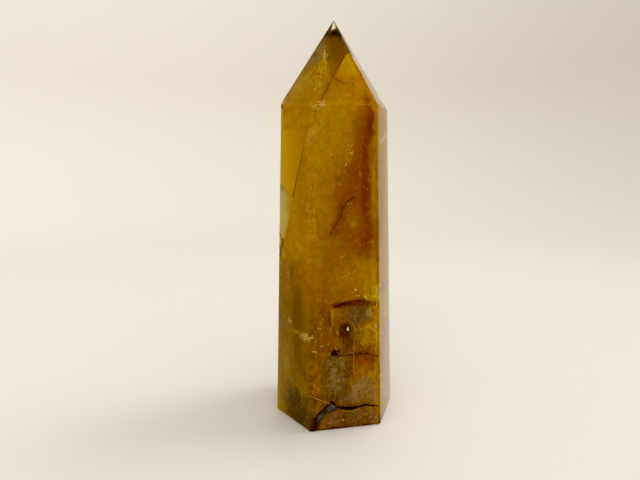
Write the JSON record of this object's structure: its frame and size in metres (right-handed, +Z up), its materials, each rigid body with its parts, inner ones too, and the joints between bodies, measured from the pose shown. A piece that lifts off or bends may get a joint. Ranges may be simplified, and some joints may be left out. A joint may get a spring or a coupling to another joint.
{
  "type": "stone obelisk",
  "caption": "Polished six-sided crystal tower that narrows upward to a faceted point and stands on a flat base.",
  "frame": {"origin": "middle of the flat base, on the surface that the tower stands on", "axes": "+Z up along the tower to its tip, -Y out of the broad front face, +X to the right of that face"},
  "size_m": [0.056, 0.0468, 0.175],
  "materials": {
    "honey_stone": "polished, partly see-through honey to rust brown quartz with cloudy bands and dark cracks"
  },
  "bodies": {
    "root": {"obelisk": "honey_stone"}
  },
  "joints": []
}
